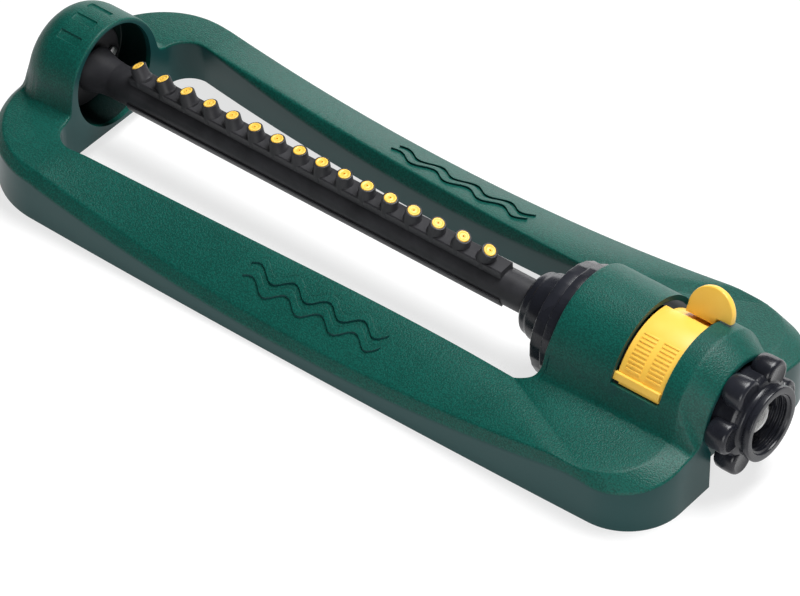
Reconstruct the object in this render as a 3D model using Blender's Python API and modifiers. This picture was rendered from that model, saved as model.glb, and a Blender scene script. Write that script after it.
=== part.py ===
"""Oscillating lawn sprinkler: a moulded ring base, a spray tube with 16 nozzles, a water motor with
two range sliders, and a swivel hose coupling. Metres, +Z up, +X along the tube towards the hose."""

import math

import bmesh
import bpy
from mathutils import Matrix, Vector

MM = 0.001

# Driving dimensions, in millimetres.
AXIS_Z = 32.0            # height of the tube's axis above the ground
BASE_END_X = 190.5       # half the length of the base
BASE_SIDE_Y = 69.6       # half the width of the base at mid length
SIDE_BOW = 1.9           # how much narrower the base is where its corners start
OPENING_LEFT_X = -152.0  # ends of the central opening
OPENING_RIGHT_X = 112.0
OPENING_WAIST_Y = 34.8   # half the opening at its narrowest, 20 mm right of the middle
OPENING_WAIST_X = 20.0
OPENING_FLARE = 0.00042  # how fast the opening widens from there, per mm
OPENING_CORNER = 12.0
CORNER_LEFT = 45.0
CORNER_RIGHT = 28.0
HUMP_R = 31.0            # the arch over each end of the tube
SHELL = 2.6              # wall of the base moulding
INNER_SKIRT_Z = 8.0      # the opening's skirt stops this far above the ground
CREASE_X = 179.0         # where the motor hood starts to taper
POCKET_R = 24.6
POCKET_Z = 34.4
HOOD_BORE_R = 27.0
SLOT_LEFT_X = 144.0
SLOT_RIGHT_X = 170.2
SLOT_NEAR_DEG = 15.0     # arc angles start at the near horizontal and rise over the top
SLOT_FAR_DEG = 148.0
EAR_DEG = 112.0          # near face of the far slider's thumb lug
RECESS_X = 180.0
RECESS_R = 24.0
RECESS_HALF_Y = 19.0

TUBE_R = 8.2
TUBE_BORE_R = 6.4
TUBE_LEFT_X = -157.0
TUBE_RIGHT_X = 92.0
TUBE_ROLL_DEG = 4.0      # the nozzles lean this far to the near side at rest
NOZZLES = 16
NOZZLE_MID_X = -39.9
NOZZLE_PITCH = 11.9
NOZZLE_TIP_H = 16.2      # tip faces, from the axis
FAN_LINEAR_DEG = 2.45    # lean of each nozzle along the tube, per nozzle from the middle
FAN_CUBIC_DEG = 0.030
STRIP_HALF_Y = 4.0
STRIP_LEFT_X = -141.0
STRIP_RIGHT_X = 68.0
STRIP_TOP = 11.0

COUPLING_FRONT_X = 207.6
COUPLING_RING_R = 17.5
COUPLING_BORE_R = 13.6
COUPLING_LOBES = 6
COUPLING_LOBE_R = 26.7

CASE_LEFT_X = 112.0
CASE_RIGHT_X = 170.0
CASE_R = 23.5
CASE_WALL = 2.0

GEAR_MODULE = 0.6
PINION_TEETH = 10
WHEEL_TEETH = 25
GEAR_GAP = 0.15          # extra centre distance, so that the teeth run free

CENTRE_X = 8.55          # the whole object's middle, from the middle of the base

GREEN = (0.006, 0.082, 0.055, 1)
BLACK = (0.016, 0.016, 0.020, 1)
YELLOW = (0.95, 0.60, 0.10, 1)
STEEL = (0.62, 0.62, 0.62, 1)
GREY = (0.30, 0.31, 0.32, 1)
NATURAL = (0.72, 0.70, 0.64, 1)


def clear_scene():
    for obj in list(bpy.data.objects):
        bpy.data.objects.remove(obj, do_unlink=True)


def collection(name):
    made = bpy.data.collections.new(name)
    bpy.context.scene.collection.children.link(made)
    return made


clear_scene()
parts = collection("sprinkler")
cutters = collection("cutters")


def material(name, color, roughness, metallic=0.0):
    made = bpy.data.materials.new(name)
    made.use_nodes = True
    shader = made.node_tree.nodes["Principled BSDF"]
    shader.inputs["Base Color"].default_value = color
    shader.inputs["Roughness"].default_value = roughness
    shader.inputs["Metallic"].default_value = metallic
    return made


green = material("green_plastic", GREEN, 0.5)
black = material("black_plastic", BLACK, 0.35)
rubber = material("black_rubber", BLACK, 0.8)
yellow = material("yellow_plastic", YELLOW, 0.4)
steel = material("stainless_steel", STEEL, 0.3, 1.0)
grey = material("grey_plastic", GREY, 0.5)
natural = material("natural_plastic", NATURAL, 0.45)


def add(name, mesh, mat, to=parts):
    """Puts a mesh in the scene as a part, or as a cutter when it has no material."""
    obj = bpy.data.objects.new(name, mesh)
    to.objects.link(obj)
    if mat:
        mesh.materials.append(mat)
        mesh.shade_smooth()
        mesh.set_sharp_from_angle(angle=math.radians(35))
    else:
        obj.hide_render = True
        obj.display_type = "WIRE"
    return obj


def finish(bm, name, mat, to=parts):
    bmesh.ops.recalc_face_normals(bm, faces=bm.faces)
    mesh = bpy.data.meshes.new(name)
    bm.to_mesh(mesh)
    bm.free()
    return add(name, mesh, mat, to)


def turned(name, profile, mat, steps=28, y=0.0, z=AXIS_Z):
    """A closed profile of (x, radius) points in mm, turned about a line along X at (y, z)."""
    area = sum(
        x0 * r1 - x1 * r0 for (x0, r0), (x1, r1) in zip(profile, profile[1:] + profile[:1])
    )
    points = profile if area > 0 else profile[::-1]
    on_axis = [i for i, (_, r) in enumerate(points) if r == 0]
    if on_axis:
        # The loop is cut at the axis, so that the modifier closes it there.
        start = next(i for i in on_axis if points[(i + 1) % len(points)][1] > 0)
        points = points[start:] + points[:start]
        edges = [(i, i + 1) for i in range(len(points) - 1)]
    else:
        edges = [(i, (i + 1) % len(points)) for i in range(len(points))]
    mesh = bpy.data.meshes.new(name)
    mesh.from_pydata([(x * MM, 0, r * MM) for x, r in points], edges, [])
    obj = bpy.data.objects.new(name, mesh)
    (parts if mat else cutters).objects.link(obj)
    obj.location = (0, y * MM, z * MM)
    screw = obj.modifiers.new("turn", "SCREW")
    screw.axis = "X"
    screw.steps = steps
    screw.render_steps = steps
    screw.use_merge_vertices = True
    screw.merge_threshold = 1e-6
    screw.use_smooth_shade = True
    if mat:
        mesh.materials.append(mat)
    else:
        obj.hide_render = True
        obj.display_type = "WIRE"
    return obj


def tube_of(name, x0, x1, outer, inner, mat, steps=28, y=0.0, z=AXIS_Z):
    return turned(name, [(x0, inner), (x0, outer), (x1, outer), (x1, inner)], mat, steps, y, z)


def rod_of(name, x0, x1, radius, mat, steps=24, y=0.0, z=AXIS_Z):
    return turned(name, [(x0, 0), (x0, radius), (x1, radius), (x1, 0)], mat, steps, y, z)


def box(name, low, high, mat=None, to=None):
    bm = bmesh.new()
    bmesh.ops.create_cube(bm, size=1)
    for v in bm.verts:
        v.co = Vector(
            (low[i] + (v.co[i] + 0.5) * (high[i] - low[i])) * MM for i in range(3)
        )
    return finish(bm, name, mat, to or (parts if mat else cutters))


def boolean(obj, other, operation):
    mod = obj.modifiers.new(operation.lower() + "_" + other.name, "BOOLEAN")
    mod.operation = operation
    mod.object = other
    return mod


def cut(obj, *others):
    for other in others:
        boolean(obj, other, "DIFFERENCE")


def join(obj, *others):
    for other in others:
        boolean(obj, other, "UNION")


def plate(name, outline, x0, x1, mat, to=None):
    """A flat outline of (y, z) points in mm about the tube's axis, from x0 to x1."""
    bm = bmesh.new()
    face = bm.faces.new([bm.verts.new((x0 * MM, y * MM, (AXIS_Z + z) * MM)) for y, z in outline])
    pushed = bmesh.ops.extrude_face_region(bm, geom=[face])
    for v in pushed["geom"]:
        if isinstance(v, bmesh.types.BMVert):
            v.co.x = x1 * MM
    return finish(bm, name, mat, to or (parts if mat else cutters))


def arc_sheet(name, x0, x1, r_in, r_out, start, end, mat, steps=14):
    """Part of a tube wall about the axis. Angles rise from the near side over the top."""
    def at(r, deg):
        a = math.radians(deg)
        return (-r * math.cos(a), r * math.sin(a))

    angles = [start + (end - start) * i / steps for i in range(steps + 1)]
    outline = [at(r_out, a) for a in angles] + [at(r_in, a) for a in reversed(angles)]
    return plate(name, outline, x0, x1, mat)


# ---- Base moulding ----

def opening_half(x):
    return OPENING_WAIST_Y + OPENING_FLARE * (x - OPENING_WAIST_X) ** 2


def side_half(x):
    return BASE_SIDE_Y - SIDE_BOW * (x / 160.0) ** 2


def blend(a, b, t):
    return a + (b - a) * min(max(t, 0.0), 1.0)


def soft_max(a, b, width=10.0):
    """The higher of two heights, with a hollow fillet where they cross."""
    near = max(width - abs(a - b), 0.0) / width
    return max(a, b) + near * near * width / 4.0


def hump_radius(x):
    """Radius of the arch at x: domed at the left end, tapered past the crease at the right."""
    if x < 0:
        past = min(max(-171.0 - x, 0.0), 19.8)
        return HUMP_R - 20.0 + math.sqrt(20.0 ** 2 - past ** 2)
    return HUMP_R - 0.35 * max(x - CREASE_X, 0.0)


def hump_height(x, y):
    radius = hump_radius(x)
    if abs(y) < radius:
        return AXIS_Z + math.sqrt(radius * radius - y * y)
    return AXIS_Z - 4.0 * (abs(y) - radius)


def stations():
    """Half the ring, from the left end's middle round the near side to the right end's middle.

    Each station gives the opening's edge, the wall, how far the top's edge lies inside the wall,
    and three heights: at the opening, at the top's edge and at the wall's top."""
    found = []
    rise = [0, 7.5, 14.5, 20.5, 25.5, 29.3]
    left_side = opening_half(OPENING_LEFT_X + OPENING_CORNER)
    left_outer = side_half(BASE_END_X - CORNER_LEFT)
    for y in rise:
        over = max(y - (left_outer - CORNER_LEFT), 0.0)
        outer_x = -BASE_END_X + CORNER_LEFT - math.sqrt(CORNER_LEFT ** 2 - over ** 2)
        found.append(((OPENING_LEFT_X, y), (outer_x, y), 4.0, 28.6, 27.5, 24.0))
    first = math.degrees(math.asin((rise[-1] - left_outer + CORNER_LEFT) / CORNER_LEFT))
    for i in range(1, 7):
        t = i / 6
        inner_a = math.radians(90 * t)
        outer_a = math.radians(first + (90 - first) * t)
        inner = (
            OPENING_LEFT_X + OPENING_CORNER - OPENING_CORNER * math.cos(inner_a),
            left_side - OPENING_CORNER + OPENING_CORNER * math.sin(inner_a),
        )
        outer = (
            -BASE_END_X + CORNER_LEFT - CORNER_LEFT * math.cos(outer_a),
            left_outer - CORNER_LEFT + CORNER_LEFT * math.sin(outer_a),
        )
        found.append((inner, outer, 4.0, 28.6, 26.0, blend(24.0, 21.0, t)))
    inner_start = OPENING_LEFT_X + OPENING_CORNER
    inner_end = OPENING_RIGHT_X - OPENING_CORNER
    outer_start = -BASE_END_X + CORNER_LEFT
    outer_end = BASE_END_X - CORNER_RIGHT
    for i in range(1, 12):
        t = i / 12
        xi = blend(inner_start, inner_end, t)
        xo = blend(outer_start, outer_end, t)
        top = 12.5 + 9.3 * (xo / 120.0) ** 2
        wall = 6.9 + 9.2 * (xo / 120.0) ** 2
        found.append(
            (
                (xi, opening_half(xi)),
                (xo, side_half(xo)),
                3.7,
                26.4 - 0.0165 * xi,
                min(top, 26.0),
                min(wall, 21.0),
            )
        )
    right_side = opening_half(inner_end)
    right_outer = side_half(outer_end)
    for i in range(7):
        t = i / 6
        inner_a = math.radians(90 - 62 * t)
        outer_a = math.radians(90 - 90 * t)
        inner = (
            inner_end + OPENING_CORNER * math.cos(inner_a),
            right_side - OPENING_CORNER + OPENING_CORNER * math.sin(inner_a),
        )
        outer = (
            outer_end + CORNER_RIGHT * math.cos(outer_a),
            right_outer - CORNER_RIGHT + CORNER_RIGHT * math.sin(outer_a),
        )
        found.append(
            (inner, outer, blend(4.0, 11.5, t), blend(24.8, 29.0, t), blend(26.0, 30.5, t),
             blend(20.5, 29.5, t))
        )
    for y in reversed(rise):
        over = max(y - (right_side - OPENING_CORNER), 0.0)
        inner_x = inner_end + math.sqrt(OPENING_CORNER ** 2 - over ** 2)
        found.append(((inner_x, y), (BASE_END_X, y), 11.5, 30.0, 31.0, 30.0))
    return found


def base_half(across=6):
    """The skin of the near half: skirt of the opening, top, chamfer and side wall."""
    bm = bmesh.new()
    rows = []
    for (xi, yi), (xo, yo), inset, z_in, z_edge, z_wall in stations():
        length = math.hypot(xo - xi, yo - yi)
        edge_t = 1.0 - inset / length
        line = [(xi, yi, INNER_SKIRT_Z)]
        for i in range(across + 1):
            t = i / across
            x = blend(xi, xo, edge_t * t)
            y = blend(yi, yo, edge_t * t)
            line.append((x, y, soft_max(z_in + (z_edge - z_in) * t, hump_height(x, y))))
        line.append((xo, yo, soft_max(z_wall, hump_height(xo, yo))))
        line.append((xo, yo, 0.0))
        rows.append([bm.verts.new((x * MM, -y * MM, z * MM)) for x, y, z in line])
    for row, after in zip(rows, rows[1:]):
        for i in range(len(row) - 1):
            bm.faces.new((row[i], after[i], after[i + 1], row[i + 1]))
    return bm


def make_base():
    mesh = bpy.data.meshes.new("base_frame")
    bm = base_half()
    bm.to_mesh(mesh)
    bm.free()
    base = add("base_frame", mesh, green)
    mirror = base.modifiers.new("far_half", "MIRROR")
    mirror.use_axis = (False, True, False)
    mirror.merge_threshold = 1e-5
    wall = base.modifiers.new("wall", "SOLIDIFY")
    wall.thickness = SHELL * MM
    wall.offset = 1.0
    wall.use_even_offset = False
    # The recess for the hose coupling: a tray let into the end wall, open below.
    tray = plate("recess_tray", recess_outline(RECESS_R + SHELL, RECESS_HALF_Y + SHELL),
                 RECESS_X - SHELL, BASE_END_X - 1.0, None)
    hollow = plate("recess_hollow", recess_outline(RECESS_R, RECESS_HALF_Y, -AXIS_Z - 1.0),
                   RECESS_X, BASE_END_X + 5.0, None)
    pocket = rod_of("pocket_cutter", OPENING_LEFT_X - 6, OPENING_LEFT_X + 6, POCKET_R, None, 28,
                    z=POCKET_Z)
    bore = rod_of("hood_cutter", OPENING_RIGHT_X - 8, OPENING_RIGHT_X + 6, HOOD_BORE_R, None, 28)
    slot = arc_sheet("slot_cutter", SLOT_LEFT_X, SLOT_RIGHT_X, 22.0, 40.0, SLOT_NEAR_DEG,
                     SLOT_FAR_DEG, None)
    inlet = rod_of("inlet_cutter", RECESS_X - 6, RECESS_X + 4, 12.0, None, 32)
    bulkhead = plate("bulkhead", disc_outline(HUMP_R - 1.7, 28, -26.0), -174.0, -171.5, None)
    cup = tube_of("pocket_cup", -173.0, -152.6, POCKET_R + 2.7, POCKET_R + 0.5, None, 28, z=POCKET_Z)
    join(base, tray, bulkhead, cup)
    cut(base, hollow, pocket, bore, slot, inlet)
    for side in (-1, 1):
        hole = rod_of("bearing_hole_cutter", -176, -170, 1.6, None, 12, y=14.0 * side)
        cut(base, hole)
    return base


def disc_outline(radius, count, lowest=-1000.0):
    """A circle about the axis as (y, z) points, flattened below the height lowest."""
    found = []
    for i in range(count):
        a = 2 * math.pi * (i + 0.5) / count
        y, z = radius * math.cos(a), radius * math.sin(a)
        if z < lowest:
            y, z = y * lowest / z, lowest
        found.append((y, z))
    return found


def recess_outline(radius, half, bottom=-AXIS_Z):
    start = -math.degrees(math.acos(half / radius))
    points = [(half, bottom)]
    for i in range(13):
        a = math.radians(start + (180 - 2 * start) * i / 12)
        points.append((radius * math.cos(a), radius * math.sin(a)))
    points.append((-half, bottom))
    return points




def pivot(obj, y=0.0, z=AXIS_Z, x=0.0):
    """Moves an object's origin to a point of its joint's axis, leaving its shape where it is."""
    where = Vector((x * MM, y * MM, z * MM))
    obj.data.transform(Matrix.Translation(-where))
    obj.location = where
    return obj


def gear_outline(teeth, phase):
    """A spur gear's outline as (y, z) points, with teeth thinned so that a pair runs free."""
    pitch = GEAR_MODULE * teeth / 2
    half = math.pi / (2 * teeth)
    shape = (
        (pitch - 1.25 * GEAR_MODULE, -1.18 * half),
        (pitch + 0.90 * GEAR_MODULE, -0.40 * half),
        (pitch + 0.90 * GEAR_MODULE, 0.40 * half),
        (pitch - 1.25 * GEAR_MODULE, 1.18 * half),
    )
    found = []
    for tooth in range(teeth):
        middle = phase + 2 * math.pi * tooth / teeth
        for r, a in shape:
            found.append((r * math.cos(middle + a), r * math.sin(middle + a)))
    return found


def gear(name, teeth, x0, x1, y, z, phase, mat=None):
    outline = [(a + y, b + z - AXIS_Z) for a, b in gear_outline(teeth, phase)]
    return plate(name, outline, x0, x1, mat)


# ---- Spray tube ----

def nozzle_x(i):
    return NOZZLE_MID_X + NOZZLE_PITCH * (i - (NOZZLES - 1) / 2)


def nozzle_frame(i):
    """Places local +Z along nozzle i, with the origin on the tube's axis."""
    steps = i - (NOZZLES - 1) / 2
    lean = math.radians(FAN_LINEAR_DEG * steps + FAN_CUBIC_DEG * steps ** 3)
    turn = Matrix.Rotation(math.radians(TUBE_ROLL_DEG), 4, "X")
    place = Matrix.Translation((nozzle_x(i) * MM, 0, AXIS_Z * MM))
    return place @ turn @ Matrix.Rotation(lean, 4, "Y"), lean


def cones(name, low, high, r_low, r_high, sides, mat=None):
    """A cone along each nozzle. The heights are along the nozzle, from the axis."""
    bm = bmesh.new()
    for i in range(NOZZLES):
        frame, _ = nozzle_frame(i)
        bmesh.ops.create_cone(
            bm,
            cap_ends=True,
            segments=sides,
            radius1=r_low * MM,
            radius2=r_high * MM,
            depth=(high - low) * MM,
            matrix=frame @ Matrix.Translation((0, 0, (low + high) / 2 * MM)),
        )
    return finish(bm, name, mat, parts if mat else cutters)


def reach(i):
    """The length along nozzle i that brings its tip to the set distance from the axis."""
    _, lean = nozzle_frame(i)
    return NOZZLE_TIP_H / math.cos(lean)


def sockets(name, low, below_tip, r_low, r_high, sides):
    bm = bmesh.new()
    for i in range(NOZZLES):
        frame, lean = nozzle_frame(i)
        bottom = low / math.cos(lean)
        top = reach(i) - below_tip
        bmesh.ops.create_cone(
            bm,
            cap_ends=True,
            segments=sides,
            radius1=r_low * MM,
            radius2=r_high * MM,
            depth=(top - bottom) * MM,
            matrix=frame @ Matrix.Translation((0, 0, (top + bottom) / 2 * MM)),
        )
    return finish(bm, name, None, cutters)


def make_tube():
    tube = tube_of("spray_tube", TUBE_LEFT_X, TUBE_RIGHT_X, TUBE_R, TUBE_BORE_R, black, 28)
    cut(tube, cones("jet_hole_cutter", 4.0, 10.5, 0.9, 0.9, 4))

    roll = math.radians(TUBE_ROLL_DEG)
    flat = [(-STRIP_HALF_Y, 0), (STRIP_HALF_Y, 0), (STRIP_HALF_Y, STRIP_TOP - 0.8),
            (STRIP_HALF_Y - 0.8, STRIP_TOP), (0.8 - STRIP_HALF_Y, STRIP_TOP),
            (-STRIP_HALF_Y, STRIP_TOP - 0.8)]
    turned_flat = [
        (y * math.cos(roll) - z * math.sin(roll), y * math.sin(roll) + z * math.cos(roll))
        for y, z in flat
    ]
    strip = plate("nozzle_strip", turned_flat, STRIP_LEFT_X, STRIP_RIGHT_X, black)
    join(strip, sockets("socket_body", 8.0, 0.9, 4.45, 3.6, 12))
    under = rod_of("strip_seat_cutter", STRIP_LEFT_X - 5, STRIP_RIGHT_X + 5, TUBE_R + 0.3, None, 36)
    cut(strip, under, sockets("socket_bore_cutter", 5.0, -3.0, 2.1, 2.1, 6))
    pivot(strip)

    for i in range(NOZZLES):
        frame, lean = nozzle_frame(i)
        tip = reach(i)
        profile = [(0.5, tip - 5.0), (1.6, tip - 5.0), (1.6, tip - 0.6), (2.9, tip - 0.6),
                   (2.9, tip + 0.5), (2.2, tip + 0.5), (0.5, tip + 0.1)]
        mesh = bpy.data.meshes.new("nozzle_tip")
        points = profile[::-1]
        edges = [(k, (k + 1) % len(points)) for k in range(len(points))]
        mesh.from_pydata([(r * MM, 0, h * MM) for r, h in points], edges, [])
        tip_part = bpy.data.objects.new(f"nozzle_tip_{i + 1:02d}", mesh)
        parts.objects.link(tip_part)
        mesh.materials.append(yellow)
        screw = tip_part.modifiers.new("turn", "SCREW")
        screw.axis = "Z"
        screw.steps = 10
        screw.render_steps = 10
        screw.use_merge_vertices = True
        screw.merge_threshold = 1e-6
        tip_part.matrix_world = frame

    bevel = arc_sheet("tube_side_panel", -140.0, 70.0, TUBE_R + 0.3, TUBE_R + 1.1, -48.0, -8.0,
                      black, 8)
    pivot(bevel)
    turned("tube_end_plug", [(-155.5, 0), (-155.5, 6.1), (-151.0, 6.1), (-151.0, 0)], black, 24)
    turned(
        "tube_end_bell",
        [(-150.0, 8.5), (-150.0, 9.2), (-156.0, 9.9), (-160.5, 11.4), (-163.5, 13.4),
         (-166.0, 14.0), (-166.0, 5.3), (-157.5, 5.3), (-157.5, 8.5)],
        black, 20,
    )
    collar = turned(
        "tube_collar",
        [(83.8, 8.5), (83.8, 13.2), (84.9, 14.4), (87.3, 14.9), (88.3, 15.9), (98.6, 16.4),
         (99.4, 15.6), (99.4, 8.8), (92.4, 8.8), (92.4, 8.5)],
        black, 20,
    )
    return tube, collar


def make_end_bearing():
    bearing = turned(
        "end_bearing",
        [(-171.2, 0), (-171.2, 19.5), (-168.6, 20.0), (-168.6, 6.4), (-167.0, 5.0),
         (-158.5, 5.0), (-158.0, 4.4), (-158.0, 0)],
        black, 24,
    )
    for number, side in enumerate((-1, 1), 1):
        hole = rod_of("bearing_screw_cutter", -173, -167, 1.6, None, 12, y=14.0 * side)
        cut(bearing, hole)
        turned(
            f"bearing_screw_{number}",
            [(-173.3, 0), (-173.3, 1.3), (-168.3, 1.3), (-168.3, 2.6), (-167.2, 2.6),
             (-166.7, 1.6), (-166.7, 0)],
            steel, 12, y=14.0 * side,
        )


# ---- Water motor ----

def make_motor():
    flange = plate("motor_flange", disc_outline(28.2, 12), 106.0, 111.6, black)
    front = plate("flange_front", disc_outline(26.8, 12), 100.0, 106.6, None)
    join(flange, front)
    bore = turned(
        "flange_bore_cutter",
        [(98.0, 0), (98.0, 6.6), (106.5, 6.6), (106.5, 9.2), (113.0, 9.2), (113.0, 0)],
        None,
    )
    cut(flange, bore)
    pivot(flange)
    turned("shaft_seal", [(106.9, 6.5), (106.9, 8.8), (110.9, 8.8), (110.9, 6.5)], rubber, 32)

    inner = CASE_R - CASE_WALL
    case = turned(
        "motor_case",
        [(CASE_LEFT_X, 6.6), (CASE_LEFT_X, CASE_R), (CASE_RIGHT_X, CASE_R),
         (CASE_RIGHT_X, inner), (CASE_LEFT_X + 2.5, inner), (CASE_LEFT_X + 2.5, 6.6)],
        black,
    )
    distance = GEAR_MODULE * (PINION_TEETH + WHEEL_TEETH) / 2 + GEAR_GAP
    lay_z = AXIS_Z - distance
    cut(case, rod_of("lay_pin_cutter", CASE_LEFT_X - 2, CASE_LEFT_X + 5, 1.3, None, 12, z=lay_z))
    turned(
        "motor_cover",
        [(CASE_RIGHT_X + 0.3, 8.5), (CASE_RIGHT_X + 0.3, CASE_R), (173.0, CASE_R),
         (173.0, 8.5)],
        black,
    )

    # The wheels' teeth face the gaps of the pinions they drive.
    shaft = turned(
        "output_shaft",
        [(78.0, 4.4), (78.0, 6.1), (128.5, 6.1), (128.5, 4.4)],
        natural, 24,
    )
    wheel = gear("output_wheel_body", WHEEL_TEETH, 122.0, 127.0, 0, AXIS_Z, -math.pi / 2)
    hub = rod_of("output_hub_cutter", 120, 130, 5.4, None, 32)
    cut(wheel, hub)
    join(shaft, wheel)

    lay = gear("lay_gear", WHEEL_TEETH, 134.0, 138.6, 0, lay_z, math.pi / 2, natural)
    lay_pinion = gear("lay_pinion_body", PINION_TEETH, 121.6, 134.4, 0, lay_z,
                      math.pi / 2 + math.pi / PINION_TEETH)
    lay_bore = rod_of("lay_bore_cutter", 119, 141, 1.4, None, 16, z=lay_z)
    join(lay, lay_pinion)
    cut(lay, lay_bore)
    pivot(lay, z=lay_z)
    rod_of("lay_pin", 112.6, 145.0, 1.05, steel, 16, z=lay_z)

    turbine_shaft = rod_of("turbine_shaft", 130.5, 168.8, 1.4, steel, 16)
    pinion = gear("turbine_pinion", PINION_TEETH, 134.0, 138.6, 0, AXIS_Z,
                  -math.pi / 2 + math.pi / PINION_TEETH, natural)
    cut(pinion, rod_of("pinion_bore_cutter", 132, 141, 1.7, None, 16))
    pivot(pinion)

    plate_part = rod_of("gear_plate", 142.0, 144.5, inner - 0.4, grey, 28)
    cut(plate_part, rod_of("plate_shaft_cutter", 140, 147, 1.75, None, 16))
    cut(plate_part, rod_of("plate_pin_cutter", 140, 147, 1.4, None, 16, z=lay_z))
    for k in range(3):
        a = math.radians(30 + 60 * k)
        cut(plate_part, rod_of("plate_port_cutter", 140, 147, 3.4, None, 10,
                               y=13.0 * math.cos(a), z=AXIS_Z + 13.0 * math.sin(a)))

    rotor = turned("turbine_rotor", [(148.0, 1.75), (148.0, 5.0), (156.0, 5.0), (156.0, 1.75)],
                   natural, 24)
    blades = bmesh.new()
    for k in range(9):
        turn = Matrix.Rotation(2 * math.pi * k / 9, 4, "X")
        slant = Matrix.Rotation(math.radians(28), 4, "Z")
        place = Matrix.Translation((152.0 * MM, 0, AXIS_Z * MM)) @ turn
        bmesh.ops.create_cube(
            blades,
            size=1,
            matrix=place @ Matrix.Translation((0, 0, 10.4 * MM)) @ slant
            @ Matrix.Diagonal((7.0 * MM, 1.2 * MM, 12.0 * MM, 1)),
        )
    join(rotor, finish(blades, "turbine_blades", None, cutters))

    ring = plate("jet_ring", disc_outline(inner - 0.4, 28), 159.0, 161.8, grey)
    cut(ring, rod_of("jet_ring_shaft_cutter", 157, 164, 1.75, None, 16))
    for k in range(6):
        a = math.radians(7 + 60 * k)
        cut(ring, rod_of("jet_cutter", 157, 164, 2.2, None, 8,
                         y=14.0 * math.cos(a), z=AXIS_Z + 14.0 * math.sin(a)))

    # The lever swings to cover the jets of one direction or those of the other.
    arms = []
    for k in range(13):
        a = math.radians(-150 + 10 * k)
        arms.append((17.0 * math.cos(a), 17.0 * math.sin(a)))
    for k in range(13):
        a = math.radians(-30 - 10 * k)
        arms.append((11.0 * math.cos(a), 11.0 * math.sin(a)))
    lever = plate("trip_lever", arms, 164.2, 166.0, yellow)
    neck = box("lever_neck", (164.2, -2.2, AXIS_Z - 14.0), (166.0, 2.2, AXIS_Z - 2.0))
    hub = rod_of("lever_hub", 163.6, 166.6, 4.2, None, 24)
    join(lever, neck, hub)
    cut(lever, rod_of("lever_bore_cutter", 161, 169, 1.9, None, 16))
    pivot(lever)


def ear_plate(name):
    """The far slider's thumb piece: an upright round lug that overhangs the near slider's sheet."""
    bm = bmesh.new()
    outline = [(168.9, 31.5), (168.9, 28.4), (153.6, 28.4)]
    for k in range(17):
        a = math.radians(190 - 200 * k / 16)
        outline.append((165.0 + 11.2 * math.cos(a), 33.4 + 11.0 * math.sin(a)))
    face = bm.faces.new([bm.verts.new((x * MM, 0, r * MM)) for x, r in outline])
    pushed = bmesh.ops.extrude_face_region(bm, geom=[face])
    for v in pushed["geom"]:
        if isinstance(v, bmesh.types.BMVert):
            v.co.y = 3.2 * MM
    turn = Matrix.Rotation(-math.radians(EAR_DEG - 90), 4, "X")
    bm.transform(Matrix.Translation((0, 0, AXIS_Z * MM)) @ turn)
    return finish(bm, name, None, cutters)


def make_sliders():
    near = arc_sheet("range_slider_near", 145.6, 168.9, 26.9, 28.0, 22.0, 107.0, yellow, 22)
    grip = arc_sheet("near_grip", 144.6, 168.2, 26.9, 29.4, 19.0, 27.0, None, 3)
    join(near, grip)
    for column in (148.5, 159.0):
        for k in range(9):
            rib = arc_sheet("near_rib", column, column + 8.0, 27.5, 28.35, 33.0 + 4.2 * k,
                            35.0 + 4.2 * k, None, 1)
            join(near, rib)
    pivot(near)
    far = arc_sheet("range_slider_far", 148.0, 168.9, 25.4, 26.6, 16.8, 146.0, yellow, 28)
    root = arc_sheet("far_root", 153.6, 168.9, 25.6, 31.4, 137.0, 146.0, None, 3)
    bridge = arc_sheet("far_bridge", 153.6, 168.9, 28.4, 31.4, 112.5, 145.8, None, 10)
    join(far, root, bridge, ear_plate("far_ear"))
    pivot(far)


# ---- Hose connection ----

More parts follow.
